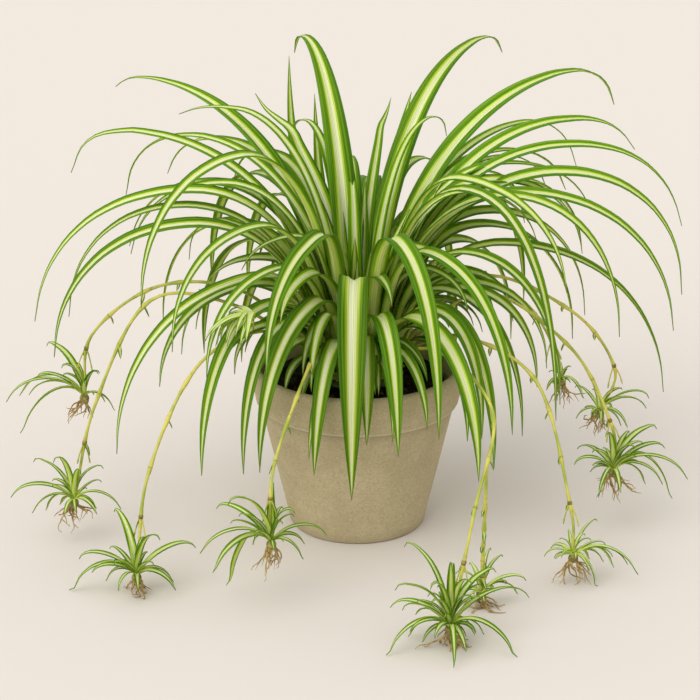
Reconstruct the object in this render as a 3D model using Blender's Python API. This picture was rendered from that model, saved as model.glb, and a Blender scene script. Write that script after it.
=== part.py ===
"""A spider plant in its pot: the pot, the soil, a crown with its heart leaves, arching striped leaves,
and runners that carry rooted plantlets. Metres, +Z up, origin at the middle of the pot's foot."""

from math import atan2, cos, pi, radians, sin

import bmesh
import bpy
from mathutils import Matrix, Vector

# Driving dimensions
GAP = 0.0003  # left between pieces that touch

POT_HEIGHT = 0.127
RIM_RADIUS = 0.080
COLLAR_HEIGHT = 0.030
COLLAR_TAPER = 0.0045
COLLAR_STEP = 0.0035
COLLAR_SOFTENING = 0.0015  # height over which the collar's lower edge rounds off
COLLAR_EDGE = 0.0008  # how far that edge is drawn in
FOOT_RADIUS = 0.051
FOOT_ROUNDING = 0.0025
FOOT_STEPS = 3
LIP_STEPS = 6
WALL = 0.007
FLOOR_THICKNESS = 0.008
POT_SIDES = 48

SOIL_TOP = 0.115
SOIL_DOME = 0.003  # how much lower the soil is at the wall
SOIL_FLAT = 0.014  # how far the level middle reaches past the crown
SOIL_DEPTH = 0.010  # depth over which the soil keeps its full width
CROWN_RADIUS = 0.037
CROWN_HEIGHT = 0.009
CROWN_ROUNDING = 0.001
CROWN_FOOT = 0.003  # height of the crown's widest place above the soil
CROWN_SIDES = 32
CROWN_TOP = SOIL_TOP + GAP + CROWN_HEIGHT

BLADE_THICKNESS = 0.0012
BLADE_FOLD = 0.20  # how far a blade's edges rise above its midrib, as a share of half its width
BLADE_BASE_SHARE = 0.30  # a blade's width where it leaves the crown, as a share of its widest
BLADE_WIDEST_AT = 0.4  # share of its length
BLADE_TIP_SHARE = 0.06  # width of its blunt tip, as a share of its widest
BLADE_TIP_THICKNESS = 0.6  # thickness at the tip, as a share of that at the crown
BLADE_ROWS = 13

RUNNER_RADIUS = 0.0014
RUNNER_POINTS = 16
RUNNER_RISE = 0.012  # a runner climbs straight up this far before it leans out
ARM_POINTS = 8
ROUTE_STEPS = 12  # per way point, before the route is read at even steps

KNOB_RADIUS = 0.0050
KNOB_EDGE = 0.55  # where a plantlet's blades start, as a share of the knob's radius
PLANTLET_BLADE_WIDTH = 0.0065
PLANTLET_BLADE_THICKNESS = 0.0009
PLANTLET_BASE_SHARE = 0.5
PLANTLET_ROWS = 5
PLANTLET_LEAN = 0.45
HIGH_BLADE = (0.80, 0.50, 0.10)  # reach, lift and drop as shares of the plantlet's span
LOW_BLADE = (1.0, 0.22, 0.45)
ARCH_TOP_AT = 0.60  # share of a plantlet blade's reach
TIP_LIFT = 0.4  # height of its tip before it drops, as a share of its lift
CLEAR_OF_TABLE = 0.0012
TIP_CLEARANCE = 0.002
ROOTS = 3
ROOT_LENGTH = 0.022
ROOT_RADII = (0.0006, 0.0011)
ROOT_LEAN = 0.35
ROOT_TURN = 0.2  # of the angle between two roots, away from the runner's side
ROOT_TIP_CLEARANCE = 0.0015
ROOT_TRIM = 0.002

# Arching leaves: name, heading in degrees (0 is +X, 90 is +Y), distance from the axis where the leaf
# leaves the crown, reach and height of the top of its arch, reach and height of its tip, greatest width.
LEAVES = [
    ("leaf_back_tall_left", 113, 0.014, (0.100, 0.347), (0.123, 0.330), 0.019),
    ("leaf_back_tall_right", 58, 0.015, (0.175, 0.332), (0.210, 0.314), 0.019),
    ("leaf_back_1", 84, 0.024, (0.090, 0.235), (0.170, 0.130), 0.015),
    ("leaf_back_2", 100, 0.030, (0.075, 0.190), (0.145, 0.080), 0.014),
    ("leaf_back_3", 127, 0.025, (0.110, 0.240), (0.195, 0.130), 0.015),
    ("leaf_back_4", 70, 0.030, (0.080, 0.195), (0.150, 0.085), 0.014),
    ("leaf_back_5", 47, 0.026, (0.110, 0.230), (0.195, 0.120), 0.015),
    ("leaf_back_6", 140, 0.029, (0.085, 0.200), (0.160, 0.090), 0.014),
    ("leaf_right_1", 38, 0.018, (0.200, 0.312), (0.253, 0.278), 0.0175),
    ("leaf_right_2", 25, 0.023, (0.165, 0.290), (0.230, 0.260), 0.0135),
    ("leaf_right_3", 12, 0.018, (0.153, 0.282), (0.246, 0.215), 0.012),
    ("leaf_right_4", 3, 0.026, (0.145, 0.268), (0.240, 0.172), 0.0135),
    ("leaf_right_5", 353, 0.021, (0.120, 0.260), (0.230, 0.160), 0.012),
    ("leaf_right_6", 343, 0.018, (0.115, 0.263), (0.194, 0.166), 0.0135),
    ("leaf_right_7", 351, 0.029, (0.110, 0.222), (0.225, 0.115), 0.014),
    ("leaf_right_8", 333, 0.028, (0.090, 0.223), (0.160, 0.120), 0.013),
    ("leaf_right_9", 20, 0.030, (0.090, 0.220), (0.175, 0.120), 0.013),
    ("leaf_front_1", 321, 0.021, (0.100, 0.277), (0.175, 0.124), 0.0115),
    ("leaf_front_2", 313, 0.026, (0.073, 0.228), (0.155, 0.115), 0.0135),
    ("leaf_front_3", 338, 0.032, (0.065, 0.190), (0.128, 0.085), 0.0125),
    ("leaf_front_4", 324, 0.031, (0.069, 0.182), (0.120, 0.070), 0.013),
    ("leaf_front_5", 304, 0.031, (0.080, 0.182), (0.150, 0.085), 0.014),
    ("leaf_front_6", 294, 0.025, (0.065, 0.240), (0.137, 0.117), 0.018),
    ("leaf_front_7", 284, 0.031, (0.068, 0.184), (0.108, 0.095), 0.014),
    ("leaf_front_8", 267, 0.028, (0.060, 0.210), (0.107, 0.062), 0.020),
    ("leaf_front_9", 255, 0.033, (0.060, 0.162), (0.105, 0.078), 0.012),
    ("leaf_front_10", 240, 0.030, (0.055, 0.190), (0.134, 0.092), 0.014),
    ("leaf_front_11", 239, 0.025, (0.050, 0.238), (0.127, 0.158), 0.015),
    ("leaf_left_1", 150, 0.019, (0.178, 0.317), (0.208, 0.307), 0.017),
    ("leaf_left_2", 163, 0.013, (0.125, 0.288), (0.178, 0.239), 0.012),
    ("leaf_left_3", 173, 0.018, (0.169, 0.295), (0.211, 0.262), 0.012),
    ("leaf_left_4", 184, 0.022, (0.120, 0.260), (0.235, 0.164), 0.013),
    ("leaf_left_5", 193, 0.028, (0.125, 0.241), (0.223, 0.149), 0.013),
    ("leaf_left_6", 215, 0.019, (0.100, 0.300), (0.182, 0.207), 0.014),
    ("leaf_left_7", 213, 0.025, (0.085, 0.245), (0.156, 0.167), 0.013),
    ("leaf_left_8", 204, 0.033, (0.075, 0.202), (0.188, 0.084), 0.013),
    ("leaf_left_9", 219, 0.031, (0.080, 0.188), (0.142, 0.073), 0.013),
    ("leaf_left_10", 227, 0.032, (0.073, 0.176), (0.120, 0.074), 0.012),
]

# Young upright leaves in the heart of the crown: heading, top, tip, width.
HEART_LEAVES = [
    (28, (0.024, 0.240), (0.042, 0.234), 0.010),
    (75, (0.050, 0.275), (0.070, 0.270), 0.012),
    (136, (0.030, 0.260), (0.044, 0.258), 0.009),
    (195, (0.030, 0.255), (0.050, 0.245), 0.011),
    (250, (0.020, 0.225), (0.035, 0.220), 0.011),
    (302, (0.022, 0.230), (0.038, 0.226), 0.011),
]
HEART_RADIUS = 0.0055
HEART_ROOT_DEPTH = 0.003
HEART_ROWS = 9

# Plantlets: middle, span of the leaves, number of leaves, and the way points of the runner from the
# crown's edge to just above the plantlet.
PLANTLETS = {
    "plantlet_left_1": (
        (-0.203, 0.000, 0.096),
        0.033,
        8,
        [(-0.034, 0.004), (-0.085, -0.010, 0.185), (-0.145, -0.010, 0.188), (-0.195, -0.004, 0.148)],
    ),
    "plantlet_left_2": (
        (-0.208, -0.050, 0.034),
        0.036,
        8,
        [(-0.0335, -0.0090), (-0.090, -0.026, 0.180), (-0.150, -0.034, 0.185), (-0.190, -0.048, 0.110)],
    ),
    "plantlet_left_3": (
        (-0.156, -0.130, 0.013),
        0.038,
        8,
        [(-0.028, -0.021), (-0.065, -0.040, 0.165), (-0.113, -0.075, 0.152), (-0.147, -0.112, 0.085)],
    ),
    "plantlet_front_1": (
        (-0.060, -0.150, 0.049),
        0.040,
        9,
        [(-0.016, -0.030), (-0.028, -0.062, 0.158), (-0.044, -0.110, 0.138), (-0.059, -0.142, 0.098)],
    ),
    "plantlet_front_2": (
        (0.062, -0.205, 0.012),
        0.044,
        10,
        [(0.018, -0.029), (0.055, -0.065, 0.160), (0.093, -0.120, 0.136), (0.078, -0.182, 0.088)],
    ),
    "plantlet_front_3": (
        (0.086, -0.150, 0.010),
        0.026,
        7,
        [],
    ),
    "plantlet_right_1": (
        (0.153, -0.115, 0.021),
        0.030,
        8,
        [(0.0310, -0.0175), (0.070, -0.036, 0.160), (0.126, -0.072, 0.140), (0.150, -0.110, 0.060)],
    ),
    "plantlet_right_2": (
        (0.189, -0.030, 0.049),
        0.036,
        9,
        [(0.034, -0.006), (0.090, -0.014, 0.185), (0.155, -0.022, 0.145), (0.187, -0.030, 0.085)],
    ),
    "plantlet_right_3": (
        (0.184, 0.030, 0.071),
        0.026,
        8,
        [(0.034, 0.008), (0.090, 0.012, 0.188), (0.160, 0.020, 0.157), (0.194, 0.029, 0.108)],
    ),
    "plantlet_right_4": (
        (0.159, 0.080, 0.077),
        0.018,
        6,
        [(0.029, 0.019), (0.075, 0.042, 0.180), (0.125, 0.066, 0.150), (0.153, 0.078, 0.105)],
    ),
}
FORKED = ("plantlet_front_2", "plantlet_front_3")  # two plantlets on the two arms of one runner
FORK_SHARE = 0.62  # where the second arm leaves the first, as a share of its length
ARM_WAY = (0.087, -0.154, 0.070)

GREEN = (0.10, 0.27, 0.05)
PALE_GREEN = (0.42, 0.52, 0.16)
CLAY = (0.46, 0.40, 0.29)
EARTH = (0.020, 0.014, 0.010)


def clear_scene():
    for thing in list(bpy.data.objects):
        bpy.data.objects.remove(thing, do_unlink=True)


def finish_of(name, colour, roughness):
    material = bpy.data.materials.new(name)
    material.use_nodes = True
    shader = material.node_tree.nodes["Principled BSDF"]
    shader.inputs["Base Color"].default_value = (*colour, 1.0)
    shader.inputs["Roughness"].default_value = roughness
    shader.inputs["Metallic"].default_value = 0.0
    return material


def placed(name, mesh, finish):
    thing = bpy.data.objects.new(name, mesh)
    bpy.context.scene.collection.objects.link(thing)
    if finish:
        thing.data.materials.append(finish)
    return thing


def mesh_from(name, shape):
    bmesh.ops.recalc_face_normals(shape, faces=shape.faces)
    mesh = bpy.data.meshes.new(name)
    shape.to_mesh(mesh)
    shape.free()
    return mesh


def turned(name, outline, sides, finish):
    """A closed body of revolution. The outline starts and ends on the axis."""
    shape = bmesh.new()
    points = [shape.verts.new((radius, 0.0, height)) for radius, height in outline]
    edges = [shape.edges.new(pair) for pair in zip(points, points[1:])]
    bmesh.ops.spin(
        shape, geom=points + edges, cent=(0, 0, 0), axis=(0, 0, 1), angle=2 * pi, steps=sides, use_merge=True
    )
    bmesh.ops.remove_doubles(shape, verts=shape.verts, dist=1e-6)
    thing = placed(name, mesh_from(name, shape), finish)
    thing.data.shade_smooth()
    thing.data.set_sharp_from_angle(angle=radians(35))
    return thing


def arc(middle, radius, start, end, steps):
    """Points on a circle in the outline's plane, angles in degrees."""
    turns = [radians(start + (end - start) * step / steps) for step in range(steps + 1)]
    return [(middle[0] + radius * cos(turn), middle[1] + radius * sin(turn)) for turn in turns]


def wall_radius(height):
    """Inner radius of the pot at a height above its foot."""
    body_top = RIM_RADIUS - COLLAR_TAPER - COLLAR_STEP
    share = height / (POT_HEIGHT - COLLAR_HEIGHT)
    return FOOT_RADIUS + (body_top - FOOT_RADIUS) * min(share, 1.0) - WALL


def make_pot(finish):
    lip = WALL / 2
    collar_foot = POT_HEIGHT - COLLAR_HEIGHT
    collar_foot_radius = RIM_RADIUS - COLLAR_TAPER
    outline = [(0.0, 0.0)]
    outline += arc((FOOT_RADIUS - FOOT_ROUNDING, FOOT_ROUNDING), FOOT_ROUNDING, -90, 0, FOOT_STEPS)
    outline += [
        (collar_foot_radius - COLLAR_STEP, collar_foot - COLLAR_SOFTENING),
        (collar_foot_radius - COLLAR_EDGE, collar_foot),
        (collar_foot_radius, collar_foot + COLLAR_SOFTENING),
    ]
    outline += arc((RIM_RADIUS - lip, POT_HEIGHT - lip), lip, 0, 180, LIP_STEPS)
    outline += [
        (wall_radius(SOIL_TOP), SOIL_TOP - SOIL_DEPTH),
        (wall_radius(FLOOR_THICKNESS), FLOOR_THICKNESS),
        (0.0, FLOOR_THICKNESS),
    ]
    return turned("pot", outline, POT_SIDES, finish)


def make_soil(finish):
    """The packed earth, a little domed, filling the pot to below its rim."""
    outline = [
        (0.0, FLOOR_THICKNESS + GAP),
        (wall_radius(FLOOR_THICKNESS) - 2 * GAP, FLOOR_THICKNESS + GAP),
        (wall_radius(SOIL_TOP) - 2 * GAP, SOIL_TOP - SOIL_DEPTH),
        (wall_radius(SOIL_TOP) - 2 * GAP, SOIL_TOP - SOIL_DOME),
        (CROWN_RADIUS + SOIL_FLAT, SOIL_TOP),
        (0.0, SOIL_TOP),
    ]
    return turned("soil", outline, POT_SIDES, finish)


def cubic(a, b, c, d, t):
    s = 1.0 - t
    return a * (s * s * s) + b * (3 * s * s * t) + c * (3 * s * t * t) + d * (t * t * t)


def arch(start, top, tip, rows, lean=0.10):
    """Points along a leaf in its upright plane: up from the crown, over the top, down to the tip."""
    rise, fall = top - start, tip - top
    droop = min(1.0, abs(fall.y) / max(fall.x, 0.001))
    up = [
        start,
        start + Vector((lean * rise.x, 0.72 * rise.y)),
        start + Vector((0.55 * rise.x, rise.y)),
        top,
    ]
    down = [
        top,
        top + Vector((0.60 * fall.x, 0.0)),
        top + Vector(((0.70 + 0.28 * droop) * fall.x, 0.42 * fall.y)),
        tip,
    ]
    rise_rows = max(3, round(rows * rise.length / (rise.length + fall.length)))
    fall_rows = max(2, rows - rise_rows)
    points = [cubic(*up, step / rise_rows) for step in range(rise_rows)]
    points += [cubic(*down, step / fall_rows) for step in range(fall_rows + 1)]
    return points


def blade_width(share, widest, base_share):
    """Width of a blade at a share of its length: narrow at its foot, then widest, then to a point."""
    swelling = base_share + (1.0 - base_share) * sin(pi / 2 * min(share / BLADE_WIDEST_AT, 1.0))
    taper = 1.0 - max(0.0, (share - BLADE_WIDEST_AT) / (1.0 - BLADE_WIDEST_AT)) ** 2
    return widest * (swelling * taper + BLADE_TIP_SHARE)


def add_blade(shape, foot, heading, path, widest, base_share=BLADE_BASE_SHARE, thickness=BLADE_THICKNESS):
    """Adds a closed folded blade to a bmesh. The path is (reach, height) from the foot."""
    outward = Vector((cos(heading), sin(heading), 0.0))
    across = Vector((-sin(heading), cos(heading), 0.0))
    up = Vector((0, 0, 1))
    rings = []
    last = len(path) - 1
    for row, point in enumerate(path):
        before, after = path[max(row - 1, 0)], path[min(row + 1, last)]
        run = (after - before).normalized()
        upper = outward * -run.y + up * run.x
        if row == 0:
            upper = -outward
        middle = foot + outward * point.x + up * point.y
        half = blade_width(row / last, widest, base_share) / 2
        thick = thickness * (1.0 - (1.0 - BLADE_TIP_THICKNESS) * row / last) / 2
        fold = upper * (half * BLADE_FOLD)
        corners = [
            middle + across * half + fold,
            middle + upper * thick,
            middle - across * half + fold,
            middle - upper * thick,
        ]
        rings.append([shape.verts.new(corner) for corner in corners])
    for lower, higher in zip(rings, rings[1:]):
        for side in range(4):
            following = (side + 1) % 4
            shape.faces.new((lower[side], lower[following], higher[following], higher[side]))
    for ring in (rings[0], rings[-1]):
        shape.faces.new((ring[0], ring[1], ring[3]))
        shape.faces.new((ring[1], ring[2], ring[3]))


def make_leaf(name, heading, root, top, tip, widest, finish):
    start = Vector((root, CROWN_TOP + GAP))
    shape = bmesh.new()
    path = arch(start, Vector(top), Vector(tip), BLADE_ROWS)
    add_blade(shape, Vector((0, 0, 0)), radians(heading), path, widest)
    thing = placed(name, mesh_from(name, shape), finish)
    thing.data.shade_smooth()
    return thing


def joined(thing, others, finish):
    """Boolean union of a body with others, which are then removed."""
    for other in others:
        join = thing.modifiers.new("join " + other.name, "BOOLEAN")
        join.operation = "UNION"
        join.solver = "EXACT"
        join.object = other
    bpy.context.view_layer.update()
    graph = bpy.context.evaluated_depsgraph_get()
    mesh = bpy.data.meshes.new_from_object(thing.evaluated_get(graph))
    thing.modifiers.clear()
    thing.data = mesh
    thing.data.materials.clear()
    thing.data.materials.append(finish)
    for other in others:
        bpy.data.objects.remove(other, do_unlink=True)
    thing.data.shade_smooth()
    thing.data.set_sharp_from_angle(angle=radians(40))
    return thing


def make_crown(finish):
    """A low mound of packed leaf bases, one with the young leaves that stand in its heart."""
    foot = SOIL_TOP + GAP
    outline = [
        (0.0, foot),
        (CROWN_RADIUS - CROWN_ROUNDING, foot),
        (CROWN_RADIUS, foot + CROWN_FOOT),
        (CROWN_RADIUS - CROWN_ROUNDING, CROWN_TOP),
        (0.0, CROWN_TOP),
    ]
    mound = turned("crown", outline, CROWN_SIDES, finish)
    young = []
    for number, (heading, top, tip, widest) in enumerate(HEART_LEAVES):
        shape = bmesh.new()
        start = Vector((HEART_RADIUS, CROWN_TOP - HEART_ROOT_DEPTH))
        path = arch(start, Vector(top), Vector(tip), HEART_ROWS)
        add_blade(shape, Vector((0, 0, 0)), radians(heading), path, widest)
        young.append(placed(f"young leaf {number}", mesh_from("young leaf", shape), None))
    return joined(mound, young, finish)


def smooth_route(points, count):
    """A Catmull-Rom curve through the way points, read at even steps."""
    padded = [2 * points[0] - points[1], *points, 2 * points[-1] - points[-2]]
    dense = []
    for a, b, c, d in zip(padded, padded[1:], padded[2:], padded[3:]):
        for step in range(ROUTE_STEPS):
            t = step / ROUTE_STEPS
            square = (2 * a - 5 * b + 4 * c - d) * t**2
            cube = (3 * b - a - 3 * c + d) * t**3
            dense.append(0.5 * (2 * b + (c - a) * t + square + cube))
    dense.append(points[-1])
    lengths = [0.0]
    for before, after in zip(dense, dense[1:]):
        lengths.append(lengths[-1] + (after - before).length)
    route = []
    for number in range(count):
        wanted = lengths[-1] * number / (count - 1)
        place = next(i for i in range(1, len(dense)) if lengths[i] >= wanted - 1e-9)
        share = (wanted - lengths[place - 1]) / (lengths[place] - lengths[place - 1])
        route.append(dense[place - 1].lerp(dense[place], share))
    return route


def tube(name, route, finish):
    """A round stem along a route."""
    curve = bpy.data.curves.new(name, "CURVE")
    curve.dimensions = "3D"
    curve.bevel_depth = RUNNER_RADIUS
    curve.bevel_resolution = 1
    curve.use_fill_caps = True
    line = curve.splines.new("POLY")
    line.points.add(len(route) - 1)
    for point, place in zip(line.points, route):
        point.co = (*place, 1.0)
    return placed(name, curve, finish)


def runner_route(knob, way):
    """From just clear of the crown's top, through the way points, to just clear of the plantlet's knob."""
    first = Vector((*way[0], CROWN_TOP + 2 * GAP))
    points = [first, first + Vector((0, 0, RUNNER_RISE)), *[Vector(place) for place in way[1:]]]
    middle = Vector(knob)
    arrival = (points[-1] - middle).normalized()
    points.append(middle + arrival * (KNOB_RADIUS + GAP))
    return smooth_route(points, RUNNER_POINTS)


def solid_tube(name, route):
    """A stem as a mesh, for a join."""
    thing = tube(name, route, None)
    bpy.context.view_layer.update()
    graph = bpy.context.evaluated_depsgraph_get()
    mesh = bpy.data.meshes.new_from_object(thing.evaluated_get(graph))
    bpy.data.objects.remove(thing, do_unlink=True)
    shape = bmesh.new()
    shape.from_mesh(mesh)
    bmesh.ops.remove_doubles(shape, verts=shape.verts, dist=1e-6)
    return placed(name, mesh_from(name, shape), None)


def make_runner(name, knob, way, finish):
    return tube(name, runner_route(knob, way), finish)


def make_forked_runner(name, finish):
    """One runner whose second arm leaves it at a joint and carries a second plantlet."""
    (first_knob, _, _, way), (second_knob, _, _, _) = [PLANTLETS[plantlet] for plantlet in FORKED]
    stem_route = runner_route(first_knob, way)
    stem = solid_tube(name, stem_route)
    fork = stem_route[round(FORK_SHARE * (RUNNER_POINTS - 1))]
    middle, above = Vector(second_knob), Vector(ARM_WAY)
    arrival = (above - middle).normalized()
    arm_route = smooth_route([fork, above, middle + arrival * (KNOB_RADIUS + GAP)], ARM_POINTS)
    return joined(stem, [solid_tube("arm", arm_route)], finish)


def make_plantlet(name, middle, span, leaves, runner_end, finish):
    """A small plant: a knob, a rosette of arching leaves and a few roots, grown as one."""
    middle = Vector(middle)
    shape = bmesh.new()
    bmesh.ops.create_icosphere(shape, subdivisions=1, radius=KNOB_RADIUS, matrix=Matrix.Translation(middle))
    knob = placed(name, mesh_from(name, shape), finish)
    arrival = runner_end - middle
    runner_heading = atan2(arrival.y, arrival.x)
    grown = []
    for number in range(leaves):
        heading = runner_heading + 2 * pi * (number + 0.5) / leaves
        reach, lift, drop = [span * share for share in (HIGH_BLADE if number % 2 == 0 else LOW_BLADE)]
        drop = min(drop, middle.z - TIP_CLEARANCE)
        shape = bmesh.new()
        start = Vector((KNOB_RADIUS * KNOB_EDGE, 0.0))
        top, tip = Vector((reach * ARCH_TOP_AT, lift)), Vector((reach, lift * TIP_LIFT - drop))
        path = arch(start, top, tip, PLANTLET_ROWS, PLANTLET_LEAN)
        path = [Vector((point.x, max(point.y, CLEAR_OF_TABLE - middle.z))) for point in path]
        add_blade(
            shape, middle, heading, path, PLANTLET_BLADE_WIDTH, PLANTLET_BASE_SHARE, PLANTLET_BLADE_THICKNESS
        )
        grown.append(placed(f"blade {number}", mesh_from("blade", shape), None))
    root_length = min(ROOT_LENGTH, middle.z - ROOT_TIP_CLEARANCE)
    for number in range(ROOTS):
        heading = runner_heading + 2 * pi * (number + ROOT_TURN) / ROOTS
        shape = bmesh.new()
        bmesh.ops.create_cone(
            shape,
            cap_ends=True,
            segments=4,
            radius1=ROOT_RADII[0],
            radius2=ROOT_RADII[1],
            depth=root_length - ROOT_TRIM,
        )
        lean = Matrix.Rotation(ROOT_LEAN, 4, "X")
        turn = Matrix.Rotation(heading, 4, "Z")
        lowered = Matrix.Translation((0, 0, -root_length / 2))
        shape.transform(Matrix.Translation(middle) @ turn @ lean @ lowered)
        grown.append(placed(f"root {number}", mesh_from("root", shape), None))
    return joined(knob, grown, finish)


def main():
    clear_scene()
    leaf_finish = finish_of("leaf", GREEN, 0.45)
    runner_finish = finish_of("runner", PALE_GREEN, 0.5)
    make_pot(finish_of("pot", CLAY, 0.85))
    make_soil(finish_of("soil", EARTH, 0.95))
    make_crown(leaf_finish)
    for leaf in LEAVES:
        make_leaf(*leaf, leaf_finish)
    for name, (middle, span, leaves, way) in PLANTLETS.items():
        runner_name = name.replace("plantlet", "runner")
        if way and name not in FORKED:
            make_runner(runner_name, middle, way, runner_finish)
        above = Vector(way[-1] if way else ARM_WAY)
        make_plantlet(name, middle, span, leaves, above, leaf_finish)
    make_forked_runner("runner_front_2", runner_finish)


main()
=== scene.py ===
"""Looks of a potted spider plant: striped leaves, runners with rooted plantlets, soil and a clay pot."""

from math import atan2, cos, pi, radians, sin
from random import Random

import bmesh
import bpy
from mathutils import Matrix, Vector
from mathutils.kdtree import KDTree


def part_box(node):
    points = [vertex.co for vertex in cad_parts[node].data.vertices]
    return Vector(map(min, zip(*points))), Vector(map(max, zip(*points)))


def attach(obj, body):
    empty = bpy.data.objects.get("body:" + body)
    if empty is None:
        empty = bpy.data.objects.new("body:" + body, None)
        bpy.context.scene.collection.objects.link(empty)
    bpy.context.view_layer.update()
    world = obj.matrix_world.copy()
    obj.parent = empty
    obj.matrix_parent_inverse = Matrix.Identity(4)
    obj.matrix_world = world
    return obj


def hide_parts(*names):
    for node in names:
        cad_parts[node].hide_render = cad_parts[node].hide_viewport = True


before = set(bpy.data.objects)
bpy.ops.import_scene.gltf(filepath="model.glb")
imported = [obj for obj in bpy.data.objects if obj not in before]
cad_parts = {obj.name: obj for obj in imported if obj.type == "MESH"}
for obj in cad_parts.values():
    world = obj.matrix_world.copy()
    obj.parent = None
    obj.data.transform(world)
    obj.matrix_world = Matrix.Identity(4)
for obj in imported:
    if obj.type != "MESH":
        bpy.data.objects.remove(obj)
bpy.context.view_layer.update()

# -------- sizes, in metres
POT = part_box("pot")
RIM_RADIUS = POT[1].x
RIM_HEIGHT = POT[1].z
FOOT_RADIUS = 0.051
FOOT_FILLET = 0.0022
UNDERSIDE = 0.0002
POT_FLOOR = 0.008
COLLAR_HEIGHT = 0.030
COLLAR_TAPER = 0.0045
COLLAR_STEP = 0.0035
WALL = 0.007
SOIL_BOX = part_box("soil")
SOIL_TOP = SOIL_BOX[1].z
CROWN_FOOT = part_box("crown")[0].z
CROWN_TOP = CROWN_FOOT + 0.009
CROWN_RADIUS = 0.037

LEAF_GRID = 44, 10  # rows along and columns across a stock blade
SMALL_GRID = 14, 6
BLADE_THICKNESS = 0.0005
MIDRIB_REACH = 0.0002
KNOB_RADIUS = 0.0048
RUNNER_RADIUS = 0.0012
RUNNER_POINTS = 49
ARM_POINTS = 25
JOINT_SHARES = (0.34, 0.48, 0.60, 0.72, 0.84)  # where a runner's joints are, along it
BRACT_WIDTH = 0.0028
TWIG_RADIUS, TWIG_STEPS = 0.00065, 7
ROOT_RADIUS, BRANCH_RADIUS, ROOT_STEPS, MOST_ROOTS = 0.00078, 0.00045, 10, 15
PLANTLET_LEAF_WIDTH = 0.0064
BARK_CHIPS = 90
HEAD_TOP = CROWN_TOP - 0.002  # where leaves leave the crown

# Filling leaves that no CAD node holds: heading in degrees, then in millimetres the distance from the
# axis at the crown, reach and height of the top of the arch, of the tip, and greatest width.
FILLING_LEAVES = [
    # tall ones round the heart, behind the front leaves
    (130, 10, (75, 285), (118, 305), 14),
    (119, 14, (70, 292), (95, 272), 10.5),
    (78, 12, (85, 280), (128, 292), 9.5),
    (47, 12, (78, 296), (96, 278), 8),
    (97, 8, (40, 262), (60, 258), 10.5),
    (158, 10, (96, 308), (142, 299), 9),
    (38, 22, (125, 258), (185, 222), 8),
    (43, 16, (165, 272), (248, 222), 8),
    # broad ones that rise out of the heart to both sides
    (144, 16, (120, 272), (185, 235), 13),
    (155, 20, (105, 250), (185, 192), 13),
    (180, 17, (95, 262), (165, 208), 12.5),
    (128, 18, (95, 262), (150, 228), 12.5),
    (33, 19, (115, 268), (185, 228), 13),
    (17, 16, (105, 268), (180, 228), 12.5),
    (5, 16, (95, 262), (165, 210), 12.5),
    (44, 21, (105, 248), (175, 194), 13),
    (64, 19, (85, 255), (140, 228), 12.5),
    (95, 16, (70, 258), (115, 238), 12.5),
    (353, 15, (78, 258), (130, 222), 11.5),
    # the left side
    (188, 27, (128, 250), (210, 170), 12.5),
    (199, 31, (75, 194), (150, 124), 12.5),
    (160, 30, (110, 222), (135, 188), 8),
    (210, 33, (77, 168), (125, 112), 10.5),
    (233, 33, (78, 164), (117, 78), 10.5),
    (178, 32, (70, 190), (130, 130), 11.5),
    (221, 26, (75, 215), (140, 150), 11.5),
    # the front
    (276, 33, (58, 165), (92, 98), 13),
    (247, 30, (60, 182), (88, 135), 9.5),
    (249, 34, (52, 142), (100, 88), 6),
    (297, 34, (63, 156), (104, 110), 9),
    (310, 33, (72, 172), (118, 100), 11.5),
    (317, 31, (78, 184), (122, 100), 13),
    (289, 33, (56, 150), (94, 100), 6),
    (329, 22, (85, 280), (170, 212), 11.5),
    (262, 32, (50, 146), (73, 112), 8),
    (226, 34, (53, 143), (72, 118), 9),
    (234, 35, (54, 138), (70, 116), 8),
    (217, 34, (56, 152), (76, 122), 9),
    (246, 36, (54, 135), (68, 118), 7),
    (251, 33, (54, 152), (80, 120), 9),
    (258, 29, (44, 168), (72, 138), 9),
    (272, 29, (40, 170), (62, 140), 9),
    (283, 30, (46, 158), (70, 126), 9),
    (243, 28, (48, 176), (80, 142), 10),
    # the right side
    (8, 26, (93, 236), (173, 150), 12.5),
    (345, 31, (80, 190), (135, 120), 11.5),
    (357, 32, (75, 188), (140, 120), 11.5),
    (30, 26, (120, 245), (200, 175), 12.5),
    # the back
    (62, 29, (85, 215), (160, 115), 13),
    (77, 31, (70, 175), (130, 85), 12.5),
    (92, 26, (85, 225), (160, 140), 14),
    (107, 31, (75, 185), (140, 90), 12.5),
    (118, 27, (95, 225), (175, 125), 13),
    (133, 31, (75, 178), (135, 85), 12.5),
    (148, 28, (100, 215), (175, 120), 13),
    (54, 31, (75, 180), (135, 90), 12.5),
    (40, 30, (85, 200), (155, 105), 13),
]

# Leaves that stand upright: heading, how far they bow out first, then in millimetres the distance from
# the axis at the crown, reach and height of the tip, and greatest width. The first ones belong to the crown.
UPRIGHT_LEAVES = [
    (28, 0.0, 5.5, (42, 238), 11),
    (80, 0.1, 5.5, (46, 252), 12),
    (136, 0.0, 5.5, (40, 254), 10),
    (195, 0.1, 5.5, (44, 244), 11),
    (250, 0.0, 5.5, (18, 228), 11),
    (302, 0.0, 5.5, (22, 218), 11),
    (118, 1.0, 12, (106, 333), 10),
    (106, 0.9, 10, (98, 304), 10),
    (68, 0.1, 14, (109, 303), 14),
    (300, 0.2, 10, (34, 228), 11),
    (265, 0.0, 9, (24, 212), 10),
    (225, 0.2, 10, (46, 240), 11),
    (185, 0.2, 10, (66, 256), 11),
    (340, 0.2, 10, (54, 248), 11),
    (20, 0.1, 11, (68, 262), 12),
]
CROWN_LEAVES = 6

# Leaves that are finer than their nodes, and by how much.
FINER = {"leaf_front_6": 0.80, "leaf_front_1": 0.80, "leaf_front_2": 0.90, "leaf_back_tall_right": 0.88}

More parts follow.
